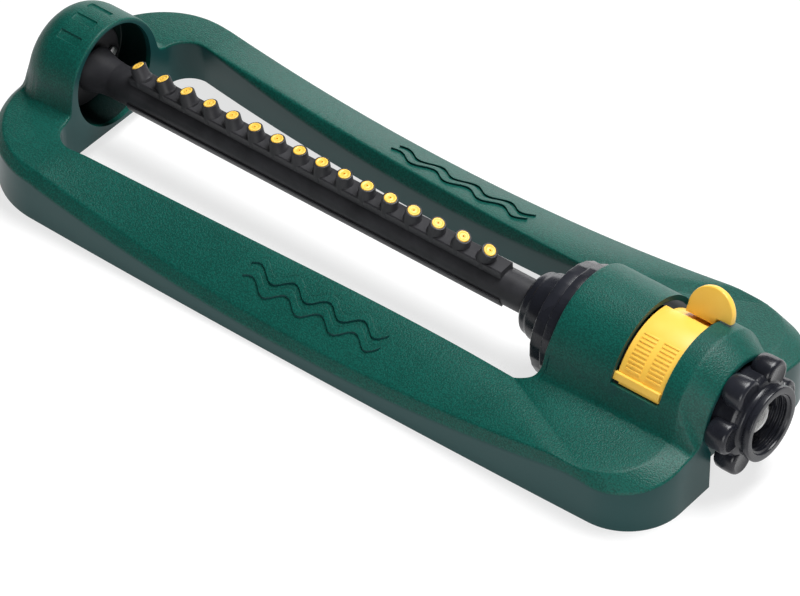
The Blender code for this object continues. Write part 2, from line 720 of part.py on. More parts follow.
def make_inlet():
    turned(
        "inlet_nipple",
        [(173.3, 8.5), (173.3, 11.0), (176.0, 11.6), (189.9, 11.6), (189.9, 13.1),
         (192.4, 13.1), (192.4, 8.5)],
        black,
    )
    tube_of("hose_washer", 192.8, 195.0, 13.1, 9.6, rubber, 32)
    dome = [(195.4, 12.8), (195.9, 12.8)]
    for k in range(6):
        a = math.radians(18 * k)
        dome.append((195.9 + 7.4 * math.sin(a), 9.4 * math.cos(a)))
    for k in range(6):
        a = math.radians(90 - 18 * k)
        dome.append((195.4 + 7.4 * math.sin(a), 8.9 * math.cos(a)))
    turned("filter_screen", dome, steel, 20)

    back_x = 183.4
    profile = [(back_x, 12.1), (back_x, 18.6), (back_x + 1.2, 19.8), (199.0, 19.8),
               (200.6, 18.6), (201.6, 16.6), (204.4, 16.6), (205.4, COUPLING_RING_R),
               (COUPLING_FRONT_X - 0.6, COUPLING_RING_R),
               (COUPLING_FRONT_X, COUPLING_RING_R - 0.6),
               (COUPLING_FRONT_X, COUPLING_BORE_R + 0.5)]
    ridge = 206.4
    for _ in range(2):
        profile += [(ridge, COUPLING_BORE_R), (ridge - 0.9, COUPLING_BORE_R - 0.7),
                    (ridge - 1.8, COUPLING_BORE_R)]
        ridge -= 3.0
    profile += [(189.5, COUPLING_BORE_R), (189.5, 12.1)]
    coupling = turned("hose_coupling", profile, black, 24)
    lobes = bmesh.new()
    for k in range(COUPLING_LOBES):
        a = math.radians(54 + 60 * k)
        for r, wide, x0, x1 in ((19.0, 5.6, 190.8, 200.2), (22.4, 4.3, 192.2, 201.6)):
            bmesh.ops.create_cone(
                lobes,
                cap_ends=True,
                segments=12,
                radius1=wide * MM,
                radius2=wide * 0.94 * MM,
                depth=(x1 - x0) * MM,
                matrix=Matrix.Translation(
                    ((x0 + x1) / 2 * MM, r * math.cos(a) * MM, (AXIS_Z + r * math.sin(a)) * MM)
                ) @ Matrix.Rotation(math.radians(90), 4, "Y"),
            )
    lobe_set = finish(lobes, "coupling_lobes", None, cutters)
    mod = boolean(coupling, lobe_set, "UNION")
    mod.use_self = True


make_base()
make_tube()
make_end_bearing()
make_motor()
make_sliders()
make_inlet()

# The record measures from the middle of the whole object.
for obj in bpy.data.objects:
    obj.location.x -= CENTRE_X * MM
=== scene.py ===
# Oscillating lawn sprinkler: the looks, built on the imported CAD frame. Lengths below are in millimetres.
import math

import bmesh
import bpy
from mathutils import Matrix, Vector
from mathutils.bvhtree import BVHTree


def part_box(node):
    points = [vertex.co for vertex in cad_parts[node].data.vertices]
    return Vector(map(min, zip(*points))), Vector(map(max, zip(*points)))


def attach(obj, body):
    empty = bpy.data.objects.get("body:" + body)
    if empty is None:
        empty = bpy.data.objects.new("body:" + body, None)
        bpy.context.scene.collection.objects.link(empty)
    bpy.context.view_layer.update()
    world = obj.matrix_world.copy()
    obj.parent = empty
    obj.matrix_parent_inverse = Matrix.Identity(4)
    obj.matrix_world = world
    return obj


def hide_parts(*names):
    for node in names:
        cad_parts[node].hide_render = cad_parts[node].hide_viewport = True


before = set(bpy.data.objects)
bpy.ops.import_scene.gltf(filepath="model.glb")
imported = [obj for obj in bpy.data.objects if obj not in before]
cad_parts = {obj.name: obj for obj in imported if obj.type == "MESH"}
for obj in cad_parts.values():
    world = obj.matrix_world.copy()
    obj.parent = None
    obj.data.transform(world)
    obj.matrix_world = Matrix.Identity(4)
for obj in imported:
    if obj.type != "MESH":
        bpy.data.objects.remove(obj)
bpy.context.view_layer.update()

print("frame loaded:", len(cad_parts), "nodes")

mm = 0.001
baseLow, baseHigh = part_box("base_frame")
tubeLow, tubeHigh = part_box("spray_tube")
midX = (baseLow[0] + baseHigh[0]) / 2 / mm          # middle of the base, along X
axisZ = (tubeLow[2] + tubeHigh[2]) / 2 / mm         # height of the tube's axis


class Socket:
    # wraps an output socket, so that shader maths reads as arithmetic
    def __init__(self, tree, out):
        self.tree = tree
        self.out = out

    def math(self, operation, first, second):
        node = self.tree.nodes.new("ShaderNodeMath")
        node.operation = operation
        for slot, value in zip(node.inputs, (first, second)):
            if isinstance(value, Socket):
                self.tree.links.new(value.out, slot)
            else:
                slot.default_value = value
        return Socket(self.tree, node.outputs[0])

    def __add__(self, other):
        return self.math("ADD", self, other)

    def __radd__(self, other):
        return self.math("ADD", other, self)

    def __sub__(self, other):
        return self.math("SUBTRACT", self, other)

    def __rsub__(self, other):
        return self.math("SUBTRACT", other, self)

    def __mul__(self, other):
        return self.math("MULTIPLY", self, other)

    def __rmul__(self, other):
        return self.math("MULTIPLY", other, self)


class Finish:
    # a material and its node tree, with a short way to make nodes
    def __init__(self, name, color, roughness, metallic=0.0, specular=0.5):
        self.material = bpy.data.materials.new(name)
        self.material.use_nodes = True
        self.tree = self.material.node_tree
        self.shader = self.tree.nodes["Principled BSDF"]
        self.shader.inputs["Base Color"].default_value = (*color, 1)
        self.shader.inputs["Roughness"].default_value = roughness
        self.shader.inputs["Metallic"].default_value = metallic
        self.shader.inputs["Specular IOR Level"].default_value = specular

    def node(self, kind, settings=None, **sockets):
        made = self.tree.nodes.new("ShaderNode" + kind)
        for key, value in (settings or {}).items():
            setattr(made, key, value)
        for key, value in sockets.items():
            numbered = key[0] == "i" and key[1:].isdigit()
            slot = made.inputs[int(key[1:]) if numbered else key.replace("_", " ")]
            if isinstance(value, Socket):
                self.tree.links.new(value.out, slot)
            else:
                slot.default_value = value
        return made

    def socket(self, node, name=0):
        return Socket(self.tree, node.outputs[name])

    def place(self):
        return self.socket(self.node("TexCoord"), "Object")

    def normalPart(self, axis):
        # how far the surface faces along one axis
        geometry = self.node("NewGeometry")
        split = self.node("SeparateXYZ", Vector=self.socket(geometry, "Normal"))
        return self.socket(split, axis)

    def noise(self, scale, detail=2.0, roughness=0.5):
        node = self.node("TexNoise", Vector=self.place(), Scale=scale, Detail=detail, Roughness=roughness)
        return self.socket(node, "Fac")

    def cells(self, scale):
        return self.socket(self.node("TexVoronoi", Vector=self.place(), Scale=scale), "Distance")

    def ramp(self, fac, low, high):
        node = self.node("MapRange", {"interpolation_type": "SMOOTHSTEP"}, Value=fac,
                         From_Min=low, From_Max=high)
        return self.socket(node, "Result")

    def blendColors(self, fac, a, b):
        a, b = (value if isinstance(value, Socket) else (*value, 1) for value in (a, b))
        return self.socket(self.node("Mix", {"data_type": "RGBA"}, i0=fac, i6=a, i7=b), 2)

    def feed(self, name, value):
        self.tree.links.new(value.out, self.shader.inputs[name])

    def bump(self, height, distance, strength=1.0):
        node = self.node("Bump", Height=height, Distance=distance, Strength=strength)
        self.feed("Normal", self.socket(node, "Normal"))


greenLook = {
    # top is the lit green of the up-facing surfaces; wall is a darker, greyer copy of the same plastic for the
    # side-facing surfaces: painted shade and painted floor reflection
    "top": (0.0030, 0.090, 0.069), "wall": (0.0055, 0.047, 0.047),
    # much darker copies of top and wall for the pocket: painted shade inside the pocket, the plastic is the same
    "pocket": (0.0015, 0.016, 0.014), "pocketWallShade": (0.000783, 0.008356, 0.007311),
    "darkShare": 0.62222, "toneRange": (0.42, 0.60), "fineShare": 0.8,
    "grainPerMetre": 1350.0, "grainDepth": 0.00017, "grainParts": (0.5, 0.8), "grainAndShadeFacing": (0.12, 0.32),
    "cloudPerMetre": 38.0, "cloudRoughness": 0.14, "rough": 0.6,
    "topRoughness": 0.44, "wallRoughness": 0.33, "specular": 0.25,
}


def greenPlastic(name, color, sideShadeColor):
    look = greenLook
    finish = Finish(name, color, look["topRoughness"], specular=look["specular"])
    # this facing mask also swaps the side-facing surfaces to the darker wall colour: painted shade
    grainAndShadeMask = finish.ramp(finish.normalPart("Z"), *look["grainAndShadeFacing"])     # no grain on the side walls
    grain = finish.cells(look["grainPerMetre"])
    fine = finish.noise(look["grainPerMetre"], 2.0, look["rough"])
    cloud = finish.noise(look["cloudPerMetre"], 4.0, look["rough"])
    tone = finish.ramp(fine * look["fineShare"] + cloud * (1 - look["fineShare"]), *look["toneRange"])
    darker = tuple(c * look["darkShare"] for c in color)
    top = finish.blendColors(tone, darker, color)
    # side-facing surfaces take the darker, greyer wall colour and the tops the lit green: painted shade and painted
    # reflection
    finish.feed("Base Color", finish.blendColors(grainAndShadeMask, sideShadeColor, top))
    rough = grainAndShadeMask * (look["topRoughness"] - look["wallRoughness"]) + look["wallRoughness"]
    finish.feed("Roughness", rough + (cloud - 0.5) * look["cloudRoughness"])
    cellPart, finePart = look["grainParts"]
    finish.bump((grain * cellPart + fine * finePart) * grainAndShadeMask, look["grainDepth"])
    return finish.material


plainLook = {
    "smearPerMetre": 60.0, "smearRange": (0.35, 0.7), "lighter": (1.5, 0.002),
    "grainPerMetre": 900.0, "grainDepth": 0.00004, "grainStrength": 0.6, "specular": 0.35,
}


def plainPlastic(name, color, roughness, mottle, grain=plainLook["grainPerMetre"]):
    look = plainLook
    finish = Finish(name, color, roughness, specular=look["specular"])
    smear = finish.noise(look["smearPerMetre"], 4.0, 0.6)
    finish.feed("Roughness", (smear - 0.5) * mottle + roughness)
    times, plus = look["lighter"]
    lighter = tuple(min(c * times + plus, 1) for c in color)
    finish.feed("Base Color", finish.blendColors(finish.ramp(smear, *look["smearRange"]), color, lighter))
    finish.bump(finish.noise(grain), look["grainDepth"], look["grainStrength"])
    return finish.material


yellowLook = {
    "plain": (0.93, 0.57, 0.075), "deep": (0.90, 0.50, 0.05), "pale": (0.95, 0.62, 0.11),
    "roughness": 0.38, "mottle": 0.12, "driftPerMetre": 70.0,
    "grainPerMetre": 1100.0, "grainDepth": 0.00003, "grainStrength": 0.6,
}


def yellowPlastic():
    look = yellowLook
    finish = Finish("yellowPlastic", look["plain"], look["roughness"])
    drift = finish.noise(look["driftPerMetre"], 3.0)
    finish.feed("Base Color", finish.blendColors(drift, look["deep"], look["pale"]))
    finish.feed("Roughness", (drift - 0.5) * look["mottle"] + look["roughness"])
    finish.bump(finish.noise(look["grainPerMetre"]), look["grainDepth"], look["grainStrength"])
    return finish.material


steelLook = {"color": (0.78, 0.78, 0.77), "roughness": 0.3, "marksPerMetre": 300.0, "smoothest": 0.2, "mottle": 0.2,
             "markDepth": 0.00002, "markStrength": 0.4}


def steelFinish():
    look = steelLook
    finish = Finish("plainSteel", look["color"], look["roughness"], metallic=1.0)
    marks = finish.noise(look["marksPerMetre"], 3.0)
    finish.feed("Roughness", marks * look["mottle"] + look["smoothest"])
    finish.bump(marks, look["markDepth"], look["markStrength"])
    return finish.material


green = greenPlastic("greenPlastic", greenLook["top"], greenLook["wall"])
# a much darker copy of the base green for the pocket's cup: painted shade
pocketShadeGreen = greenPlastic("pocketShadeGreen", greenLook["pocket"], greenLook["pocketWallShade"])
satinBlack = plainPlastic("satinBlack", (0.0185, 0.0185, 0.0212), 0.46, 0.16)
glossBlack = plainPlastic("glossBlack", (0.0100, 0.0108, 0.0150), 0.27, 0.14)
rubberBlack = plainPlastic("rubberBlack", (0.011, 0.011, 0.011), 0.75, 0.1, 500.0)
yellow = yellowPlastic()
steel = steelFinish()
greyPlastic = plainPlastic("greyPlastic", (0.22, 0.23, 0.24), 0.45, 0.1)
naturalPlastic = plainPlastic("naturalPlastic", (0.60, 0.58, 0.52), 0.45, 0.1)
print("materials made")


def applied(obj):
    # the object's modifiers made real
    graph = bpy.context.evaluated_depsgraph_get()
    mesh = bpy.data.meshes.new_from_object(obj.evaluated_get(graph))
    obj.modifiers.clear()
    old = obj.data
    obj.data = mesh
    bpy.data.meshes.remove(old)
    return obj


def objectFrom(bm, name, material=None, sharpDegrees=35.0):
    mesh = bpy.data.meshes.new(name)
    bm.to_mesh(mesh)
    bm.free()
    mesh.transform(Matrix.Diagonal((mm, mm, mm, 1)))
    obj = bpy.data.objects.new(name, mesh)
    bpy.context.scene.collection.objects.link(obj)
    if material:
        mesh.materials.append(material)
    mesh.shade_smooth()
    mesh.set_sharp_from_angle(angle=math.radians(sharpDegrees))
    return obj


def settle(obj, body, slotName, *nodes):
    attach(obj, body)
    if nodes:
        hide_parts(*nodes)
    return obj


def roundedLine(points, radius, steps=4):
    # a closed profile with its corners rounded, each by no more than a third of its shorter side
    found = []
    for i, here in enumerate(points):
        here = Vector(here)
        before = Vector(points[i - 1]) - here
        after = Vector(points[(i + 1) % len(points)]) - here
        if here.y == 0 or before.angle(after, math.pi) > math.radians(172):
            found.append(here)
            continue
        size = min(radius, before.length * 0.33, after.length * 0.33)
        start = here + before.normalized() * size
        end = here + after.normalized() * size
        for k in range(steps + 1):
            t = k / steps
            found.append(start * (1 - t) ** 2 + here * 2 * t * (1 - t) + end * t ** 2)
    return found


def spun(name, profile, material, radius=0.5, steps=96, z=axisZ):
    # a closed (x, radius) profile spun about the line along X at height z
    bm = bmesh.new()
    line = roundedLine(profile, radius)
    verts = [bm.verts.new((p.x + midX, 0, z + p.y)) for p in line]
    edges = []
    for i, v in enumerate(verts):
        j = (i + 1) % len(verts)
        if line[i].y or line[j].y:
            edges.append(bm.edges.new((v, verts[j])))
    bmesh.ops.spin(bm, geom=verts + edges, cent=(0, 0, z), axis=(1, 0, 0), angle=2 * math.pi,
                   steps=steps, use_merge=True)
    bmesh.ops.remove_doubles(bm, verts=bm.verts, dist=0.001)
    bmesh.ops.recalc_face_normals(bm, faces=bm.faces)
    return objectFrom(bm, name, material)


def cutWith(obj, *cutters, operation="DIFFERENCE", solver="EXACT", selfCross=False):
    # takes the cutters from the object, or adds them to it, and removes them
    for cutter in cutters:
        mod = obj.modifiers.new("cut", "BOOLEAN")
        mod.operation = operation
        mod.object = cutter
        mod.solver = solver
        mod.use_self = selfCross and solver == "EXACT"
    applied(obj)
    for cutter in cutters:
        bpy.data.objects.remove(cutter, do_unlink=True)
    return obj


def resmooth(obj, degrees=35.0):
    obj.data.shade_smooth()
    obj.data.set_sharp_from_angle(angle=math.radians(degrees))
    return obj


def sharpEdges(bm, least):
    return [e for e in bm.edges if len(e.link_faces) == 2 and e.calc_face_angle(0) > least]


def soften(bm, edges, size, clamp=True):
    bmesh.ops.bevel(bm, geom=edges, offset=size, offset_type="OFFSET", segments=3, profile=0.5, affect="EDGES",
                    clamp_overlap=clamp, material=-1)


def push(bm, faces, way):
    pushed = bmesh.ops.extrude_face_region(bm, geom=faces)["geom"]
    moved = [v for v in pushed if isinstance(v, bmesh.types.BMVert)]
    bmesh.ops.translate(bm, verts=moved, vec=way)


def polar(x, radius, degrees):
    # a point about the axis, its angle rising from the near side over the top
    a = math.radians(degrees)
    return Vector((x + midX, -radius * math.cos(a), axisZ + radius * math.sin(a)))


def slabArc(name, x0, x1, rIn, rOut, start, end, material=None, steps=40, soft=0.0):
    # a curved slab: part of a wall about the axis, its long edges softened
    bm = bmesh.new()
    ring = [bm.verts.new(polar(x, r, start)) for x, r in ((x0, rIn), (x1, rIn), (x1, rOut), (x0, rOut))]
    face = bm.faces.new(ring)
    bmesh.ops.spin(bm, geom=[face] + face.edges[:] + ring, cent=(midX, 0, axisZ), axis=(1, 0, 0),
                   angle=-math.radians(end - start), steps=steps, use_duplicate=False)
    bmesh.ops.remove_doubles(bm, verts=bm.verts, dist=0.0005)
    if soft:
        soften(bm, sharpEdges(bm, 1.0), soft)
    bmesh.ops.recalc_face_normals(bm, faces=bm.faces)
    return objectFrom(bm, name, material)


baseShape = {
    "endX": 190.5, "sideY": 69.6, "sideBow": 1.9, "cornerLeft": 45.0, "cornerRight": 28.0,
    "openLeftX": -152.0, "openRightX": 112.0, "openCorner": 12.0,
    "waistY": 34.8, "waistX": 20.0, "flare": 0.00042, "leftHalf": 30.7,
    "humpR": 31.0, "leftHumpR": 29.0, "humpEndX": -170.7, "humpRound": 20.0, "humpFoot": 4.0,
    "creaseX": 179.0, "hoodTaper": 0.45, "hoodCurve": 0.010,
    "wall": 2.5, "skirtZ": 8.0, "crown": 1.3, "rimLeast": 0.8, "rimDip": 6.4, "rimMidX": -15.0, "rimHalf": 118.0,
    "topSamples": 44, "edgeSoft": 1.3, "chamferSoft": 1.1,
    "lean": 4.5, "leanFromZ": 8.0, "leanRise": 52.0, "leanFromX": -120.0, "leanReach": 32.0, "leanEnd": 38.5,
}

# inner rim, outer edge and top of the wall, around the base
baseHeights = {
    "leftEnd": (28.6, 27.5, 24.0), "leftSide": (28.6, 26.0, 21.0),
    "railInner": 26.4, "railFall": 0.0165, "railEdge": (12.5, 9.3, 26.0), "railWall": (6.9, 9.2, 21.0),
    "rightSide": (24.8, 26.0, 20.3), "rightCorner": (29.0, 29.5, 27.0), "rightEnd": (30.0, 31.0, 31.0),
    "leftInset": 4.0, "railInset": 3.7, "rightInset": (4.6, 11.5),
}


def openHalf(x):
    s = baseShape
    return s["waistY"] + s["flare"] * (x - s["waistX"]) ** 2


def sideHalf(x):
    return baseShape["sideY"] - baseShape["sideBow"] * (x / 160.0) ** 2


def between(a, b, t):
    return a + (b - a) * min(max(t, 0.0), 1.0)


def mixed(a, b, t):
    return [between(p, q, t) for p, q in zip(a, b)]


def softMax(a, b, width=12.0):
    near = max(width - abs(a - b), 0.0) / width
    return max(a, b) + near * near * width / 4.0


def humpHeight(x, y):
    s = baseShape
    if x < 0:
        past = min(max(s["humpEndX"] - x, 0.0), s["humpRound"] - 0.2)
        radius = s["leftHumpR"] - s["humpRound"] + math.sqrt(s["humpRound"] ** 2 - past ** 2)
    else:
        past = max(x - s["creaseX"], 0.0)
        radius = s["humpR"] - s["hoodTaper"] * past - s["hoodCurve"] * past * past
    if abs(y) < radius:
        return axisZ + math.sqrt(radius * radius - y * y)
    return axisZ - s["humpFoot"] * (abs(y) - radius)


def railHeight(x, low, gain, most):
    return min(low + gain * (x / 120.0) ** 2, most)


def stations():
    # half the ring from the left end's middle to the right end's: opening edge, wall, inset, heights
    s, h = baseShape, baseHeights
    found = []
    rise = [s["leftHalf"] * i / 26 for i in range(27)]
    innerStart = s["openLeftX"] + s["openCorner"]
    innerEnd = s["openRightX"] - s["openCorner"]
    outerStart = -s["endX"] + s["cornerLeft"]
    outerEnd = s["endX"] - s["cornerRight"]
    leftInner = openHalf(innerStart)
    leftOuter = sideHalf(s["endX"] - s["cornerLeft"])
    for y in rise:
        over = max(y - (leftOuter - s["cornerLeft"]), 0.0)
        outerX = outerStart - math.sqrt(s["cornerLeft"] ** 2 - over ** 2)
        found.append(((s["openLeftX"], y), (outerX, y), h["leftInset"], *h["leftEnd"]))
    first = math.asin((rise[-1] - leftOuter + s["cornerLeft"]) / s["cornerLeft"])
    for i in range(1, 25):
        t = i / 24
        a = math.pi / 2 * t
        b = first + (math.pi / 2 - first) * t
        found.append((
            (innerStart - s["openCorner"] * math.cos(a), leftInner - s["openCorner"] * (1 - math.sin(a))),
            (outerStart - s["cornerLeft"] * math.cos(b), leftOuter - s["cornerLeft"] * (1 - math.sin(b))),
            h["leftInset"], *mixed(h["leftEnd"], h["leftSide"], t)))
    for i in range(1, 60):
        t = i / 60
        xi = between(innerStart, innerEnd, t)
        xo = between(outerStart, outerEnd, t)
        found.append((
            (xi, openHalf(xi)), (xo, sideHalf(xo)), h["railInset"], h["railInner"] - h["railFall"] * xi,
            railHeight(xo, *h["railEdge"]), railHeight(xo, *h["railWall"])))
    rightInner = openHalf(innerEnd)
    rightOuter = sideHalf(outerEnd)
    for i in range(25):
        t = i / 24
        a = math.radians(90 - 62 * t)
        b = math.radians(90 - 90 * t)
        found.append((
            (innerEnd + s["openCorner"] * math.cos(a), rightInner - s["openCorner"] * (1 - math.sin(a))),
            (outerEnd + s["cornerRight"] * math.cos(b), rightOuter - s["cornerRight"] * (1 - math.sin(b))),
            between(*h["rightInset"], t ** 0.6), *mixed(h["rightSide"], h["rightCorner"], t)[:2],
            between(h["rightSide"][2], h["rightCorner"][2], t * t)))
    foot = found[-1][0][1]
    endY = found[-1][1][1]
    for i in range(1, 27):
        y = 1 - i / 26
        inY, outY = foot * y, endY * y
        over = max(inY - (rightInner - s["openCorner"]), 0.0)
        inX = innerEnd + math.sqrt(s["openCorner"] ** 2 - over ** 2)
        found.append(((inX, inY), (s["endX"], outY), h["rightInset"][1], *mixed(h["rightEnd"], h["rightCorner"], y)))
    return found


def bend(corner, before, after, size, steps=4):
    # a rounded corner between two neighbours
    a = corner + (before - corner).normalized() * min(size, (before - corner).length * 0.45)
    b = corner + (after - corner).normalized() * min(size, (after - corner).length * 0.45)
    return [a * (1 - k / steps) ** 2 + corner * 2 * (k / steps) * (1 - k / steps) + b * (k / steps) ** 2
            for k in range(steps + 1)]


def sectionLine(station):
    # one cross-section of the ring, from the opening's skirt over the top to the foot of the outer wall
    s = baseShape
    (xi, yi), (xo, yo), inset, zIn, zEdge, zWall = station
    length = math.hypot(xo - xi, yo - yi)
    edge = 1.0 - inset / length

    def top(t):
        x, y = xi + (xo - xi) * edge * t, yi + (yo - yi) * edge * t
        return Vector((x, y, softMax(zIn + (zEdge - zIn) * t ** s["crown"], humpHeight(x, y))))

    count = s["topSamples"]
    dip = s["rimLeast"] + s["rimDip"] * max(0.0, 1.0 - ((xi - s["rimMidX"]) / s["rimHalf"]) ** 2)
    rim = Vector((xi, yi, top(0).z - dip))
    crease = top(0.7 * dip / length)
    inner = [Vector((xi, yi, s["skirtZ"])), Vector((xi, yi, (s["skirtZ"] + rim.z) / 2))]
    tops = [top(between(0.07 + dip / length, 0.93, i / (count - 1))) for i in range(count)]
    wallTop = Vector((xo, yo, softMax(zWall, humpHeight(xo, yo))))
    wallMid = Vector((xo, yo, wallTop.z * 0.6))
    line = inner + bend(rim, inner[-1], crease, s["edgeSoft"])
    line += bend(crease, rim, tops[0], s["edgeSoft"]) + tops
    line += bend(top(1), tops[-1], wallTop, s["chamferSoft"])
    line += bend(wallTop, top(1), wallMid, s["chamferSoft"])
    line += [wallMid, Vector((xo, yo, wallTop.z * 0.3)), Vector((xo, yo, 0.0))]
    return line


def leanAt(z):
    # how far the left end leans back at this height
    s = baseShape
    return s["lean"] * max(z - s["leanFromZ"], 0.0) / s["leanRise"]


def makeBase():
    s = baseShape
    rows = [sectionLine(station) for station in stations()]
    across, along = len(rows[0]) - 1, len(rows) - 1
    bm = bmesh.new()
    bmesh.ops.create_grid(bm, x_segments=along, y_segments=across, size=1)
    for v in bm.verts:
        i = round((v.co.x + 1) / 2 * along)
        j = round((v.co.y + 1) / 2 * across)
        p = rows[i][j]
        weight = between(0.0, 1.0, (s["leanFromX"] - p.x) / s["leanReach"])
        weight *= between(0.0, 1.0, (s["endX"] + p.x) / s["leanEnd"])
        v.co = Vector((p.x - leanAt(p.z) * weight + midX, -p.y, p.z))
    bmesh.ops.mirror(bm, geom=bm.verts[:] + bm.edges[:] + bm.faces[:], axis="Y", merge_dist=0.002)
    bmesh.ops.remove_doubles(bm, verts=bm.verts, dist=0.002)
    bmesh.ops.recalc_face_normals(bm, faces=bm.faces)
    if sum(f.normal.z * f.calc_area() for f in bm.faces) < 0:
        bmesh.ops.reverse_faces(bm, faces=bm.faces)
    moulding = objectFrom(bm, "baseMoulding", green)
    shell = moulding.modifiers.new("wall", "SOLIDIFY")
    shell.thickness = s["wall"] * mm
    shell.offset = -1.0
    return applied(moulding)


base = makeBase()
print("base skin:", len(base.data.polygons), "faces")


def disc(name, x0, x1, radius, z=axisZ):
    bm = bmesh.new()
    bmesh.ops.create_cone(bm, cap_ends=True, segments=96, radius1=radius, radius2=radius, depth=x1 - x0)
    bmesh.ops.rotate(bm, verts=bm.verts, matrix=Matrix.Rotation(math.pi / 2, 3, "Y"))
    bmesh.ops.translate(bm, verts=bm.verts, vec=((x0 + x1) / 2 + midX, 0, z))
    return objectFrom(bm, name)


cutLook = {
    "pocketX": (-170.0, -140.0), "pocketR": 24.6, "pocketZ": 34.4, "hoodX": (104.0, 120.0), "hoodBoreR": 27.0,
    "slotX": (144.9, 170.0), "slotR": (22.0, 40.0), "slotDegrees": (17.0, 148.0),
    "recessX": 180.0, "recessR": 22.4, "recessHalf": 19.0, "recessFoot": -4.0, "recessDepth": 20.0,
    "gripDegrees": (62, 84, 105), "gripX": (-174.5, -162.0), "gripHalfDegrees": 4.6, "gripDepth": 0.75,
    "gripTop": 36.0, "gripSoft": 0.9,
}


def recessOutline(bm, x, radius, half, bottom):
    # an arch about the axis with straight legs
    start = -math.acos(half / radius)
    line = [(half, bottom)]
    line += [(radius * math.cos(start + (math.pi - 2 * start) * i / 48),
              axisZ + radius * math.sin(start + (math.pi - 2 * start) * i / 48)) for i in range(49)]
    line += [(-half, bottom)]
    return bm.faces.new([bm.verts.new((x + midX, y, z)) for y, z in line])


def cutBase():
    look = cutLook
    pocket = disc("pocketCut", *look["pocketX"], look["pocketR"], look["pocketZ"])
    hood = disc("hoodCut", *look["hoodX"], look["hoodBoreR"])
    slot = slabArc("slotCut", *look["slotX"], *look["slotR"], *look["slotDegrees"], steps=60)
    bm = bmesh.new()
    face = recessOutline(bm, look["recessX"], look["recessR"], look["recessHalf"], look["recessFoot"])
    push(bm, [face], (look["recessDepth"], 0, 0))
    bmesh.ops.recalc_face_normals(bm, faces=bm.faces)
    recess = objectFrom(bm, "recessCut")
    floor, half = baseShape["leftHumpR"] - look["gripDepth"], look["gripHalfDegrees"]
    grips = [slabArc("gripCut", *look["gripX"], floor, look["gripTop"], angle - half, angle + half, steps=6,
                     soft=look["gripSoft"]) for angle in look["gripDegrees"]]
    cutWith(base, pocket, hood, slot, recess, *grips, solver="MANIFOLD")
    resmooth(base, 32)


cutBase()
settle(base, "base", "base", "base_frame")
print("base cut:", len(base.data.polygons), "faces")

reliefLook = {
    "railY": (-52.0, 51.0), "fromX": -34.0, "toX": 42.0, "waves": 4.0, "swing": 2.4, "half": 1.7, "spacing": 6.2,
    "raised": 1.1, "sunk": 0.3, "soft": 0.45, "tipWidth": 0.25, "tipGrowth": 9.0,
}


def makeRelief():
    # plain raised waves that lie on the two rails
    look = reliefLook
    skin = BVHTree.FromObject(base, bpy.context.evaluated_depsgraph_get())
    bm = bmesh.new()
    for railY in look["railY"]:
        for row in (-0.5, 0.5):
            made = bmesh.ops.create_grid(bm, x_segments=120, y_segments=4, size=0.5)["verts"]
            for v in made:
                t = v.co.x + 0.5
                x = between(look["fromX"], look["toX"], t)
                width = look["half"] * min(1.0, look["tipWidth"] + look["tipGrowth"] * min(t, 1.0 - t))
                y = railY + row * look["spacing"] + look["swing"] * math.sin(2 * math.pi * look["waves"] * t)
                y += 2 * v.co.y * width
                hit = skin.ray_cast(Vector(((x + midX) * mm, y * mm, 0.09)), Vector((0, 0, -1)))[0]
                v.co = Vector((x + midX, y, hit.z / mm - look["sunk"]))
            push(bm, list({f for v in made for f in v.link_faces}), (0, 0, look["raised"] + look["sunk"]))
    bmesh.ops.recalc_face_normals(bm, faces=bm.faces)
    soften(bm, sharpEdges(bm, 1.1), look["soft"])
    return objectFrom(bm, "railRelief", green, 50)


settle(makeRelief(), "base", "base")

cupLook = {"mouthX": -156.8, "backX": (-171.6, -174.2), "bore": 24.8, "outer": 25.5, "soft": 0.8,
           "leanFromX": -160.0, "mouthMove": 3.4}


def makeCup():
    look = cupLook
    mouth, (back, outside) = look["mouthX"], look["backX"]
    profile = [(mouth, look["bore"]), (mouth, look["outer"]), (outside, look["outer"]), (outside, 0), (back, 0),
               (back, look["bore"])]
    # the cup wears the darkened pocket green: painted shade inside the pocket
    cup = spun("pocketCup", profile, pocketShadeGreen, look["soft"], z=cutLook["pocketZ"])
    for v in cup.data.vertices:
        if v.co.x > (midX + look["leanFromX"]) * mm:                        # its mouth follows the leaning face
            v.co.x += (look["mouthMove"] - leanAt(v.co.z / mm)) * mm
    return cup


settle(makeCup(), "base", "base")

trayLook = {"gap": 0.05, "depth": 9.6, "wall": 2.0, "holeX": (170.0, 190.0), "holeR": 12.0}


def makeTray():
    look, gap, depth = cutLook, trayLook["gap"], trayLook["depth"]
    bm = bmesh.new()
    face = recessOutline(bm, look["recessX"], look["recessR"] + gap, look["recessHalf"] + gap, 0.0)
    push(bm, [face], (depth, 0, 0))
    frontX = midX + look["recessX"] + depth
    front = [f for f in bm.faces if f.normal.x and abs(f.calc_center_median().x - frontX) < 0.1]
    bottom = [f for f in bm.faces if f.calc_center_median().z < 0.01]
    bmesh.ops.delete(bm, geom=list(set(front + bottom)), context="FACES")
    bmesh.ops.recalc_face_normals(bm, faces=bm.faces)
    if sum(f.normal.x * f.calc_area() for f in bm.faces) < 0:
        bmesh.ops.reverse_faces(bm, faces=bm.faces)
    tray = objectFrom(bm, "recessTray", green)
    wall = tray.modifiers.new("wall", "SOLIDIFY")
    wall.thickness = trayLook["wall"] * mm
    wall.offset = -1.0
    applied(tray)
    cutWith(tray, disc("nippleHole", *trayLook["holeX"], trayLook["holeR"]))
    return resmooth(tray)


settle(makeTray(), "base", "base")


